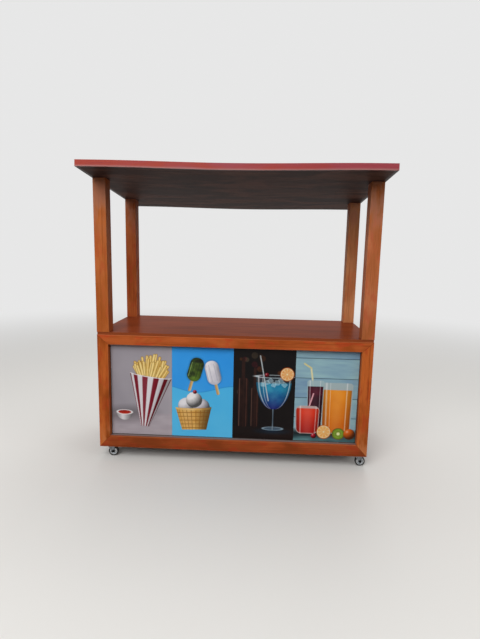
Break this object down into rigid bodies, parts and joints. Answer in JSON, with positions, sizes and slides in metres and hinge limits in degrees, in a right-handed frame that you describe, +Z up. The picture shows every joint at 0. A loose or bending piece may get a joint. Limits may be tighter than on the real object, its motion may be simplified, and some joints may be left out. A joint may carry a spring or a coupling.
{
  "type": "market stall",
  "caption": "Open-frame wooden market stall: panelled box base on swivel casters, counter board, corner posts and a gently pitched flat roof.",
  "frame": {"origin": "on the ground under the middle of the stall, at the centre of its bounding box in plan", "axes": "+Z up, +X to the right seen from the printed front, +Y from the front to the back"},
  "size_m": [2.01, 1.384, 2.1339],
  "materials": {
    "stained_timber": "glossy orange-brown stain and varnish",
    "stained_sheet": "satin brown stain",
    "printed_panel": "glossy printed sheet",
    "counter_board": "semi-gloss red-brown stain",
    "roof_underside": "dark glossy maroon-brown paint",
    "plain_timber": "bare sawn timber",
    "red_paint": "satin red paint",
    "zinc_plate": "bright zinc plate",
    "hub_metal": "bright pressed steel",
    "rubber": "matt black"
  },
  "bodies": {
    "stall": {"front_left_corner": "stained_timber", "front_right_corner": "stained_timber", "back_left_corner": "stained_timber", "back_right_corner": "stained_timber", "front_top_rail": "stained_timber", "front_low_rail": "stained_timber", "back_top_rail": "stained_timber", "back_low_rail": "stained_timber", "left_top_rail": "stained_timber", "left_low_rail": "stained_timber", "right_top_rail": "stained_timber", "right_low_rail": "stained_timber", "front_panel": "printed_panel", "back_panel": "stained_sheet", "left_panel": "stained_sheet", "right_panel": "stained_sheet", "base_floor": "stained_sheet", "counter_top": "counter_board", "front_left_post": "stained_timber", "front_right_post": "stained_timber", "back_left_post": "stained_timber", "back_right_post": "stained_timber", "roof_underside": "roof_underside", "roof_battens": "plain_timber", "roof_top": "red_paint", "roof_front_edge": "red_paint", "roof_back_edge": "red_paint", "roof_left_edge": "red_paint", "roof_right_edge": "red_paint", "front_left_plate": "zinc_plate", "front_right_plate": "zinc_plate", "back_left_plate": "zinc_plate", "back_right_plate": "zinc_plate"},
    "front_left_caster": {"front_left_fork": "zinc_plate"},
    "front_left_wheel": {"front_left_hub": "hub_metal", "front_left_tyre": "rubber"},
    "front_right_caster": {"front_right_fork": "zinc_plate"},
    "front_right_wheel": {"front_right_hub": "hub_metal", "front_right_tyre": "rubber"},
    "back_left_caster": {"back_left_fork": "zinc_plate"},
    "back_left_wheel": {"back_left_hub": "hub_metal", "back_left_tyre": "rubber"},
    "back_right_caster": {"back_right_fork": "zinc_plate"},
    "back_right_wheel": {"back_right_hub": "hub_metal", "back_right_tyre": "rubber"}
  },
  "joints": [
    {"name": "front_left_swivel", "type": "hinge", "parent": "stall", "child": "front_left_caster", "pos_m": [-0.942, -0.3335, 0.0865], "axis": [0, 0, 1], "continuous": true},
    {"name": "front_left_roll", "type": "hinge", "parent": "front_left_caster", "child": "front_left_wheel", "pos_m": [-0.917, -0.3335, 0.0375], "axis": [0, 1, 0], "continuous": true},
    {"name": "front_right_swivel", "type": "hinge", "parent": "stall", "child": "front_right_caster", "pos_m": [0.942, -0.3335, 0.0865], "axis": [0, 0, 1], "continuous": true},
    {"name": "front_right_roll", "type": "hinge", "parent": "front_right_caster", "child": "front_right_wheel", "pos_m": [0.967, -0.3335, 0.0375], "axis": [0, 1, 0], "continuous": true},
    {"name": "back_left_swivel", "type": "hinge", "parent": "stall", "child": "back_left_caster", "pos_m": [-0.942, 0.3745, 0.0865], "axis": [0, 0, 1], "continuous": true},
    {"name": "back_left_roll", "type": "hinge", "parent": "back_left_caster", "child": "back_left_wheel", "pos_m": [-0.917, 0.3745, 0.0375], "axis": [0, 1, 0], "continuous": true},
    {"name": "back_right_swivel", "type": "hinge", "parent": "stall", "child": "back_right_caster", "pos_m": [0.942, 0.3745, 0.0865], "axis": [0, 0, 1], "continuous": true},
    {"name": "back_right_roll", "type": "hinge", "parent": "back_right_caster", "child": "back_right_wheel", "pos_m": [0.967, 0.3745, 0.0375], "axis": [0, 1, 0], "continuous": true}
  ]
}
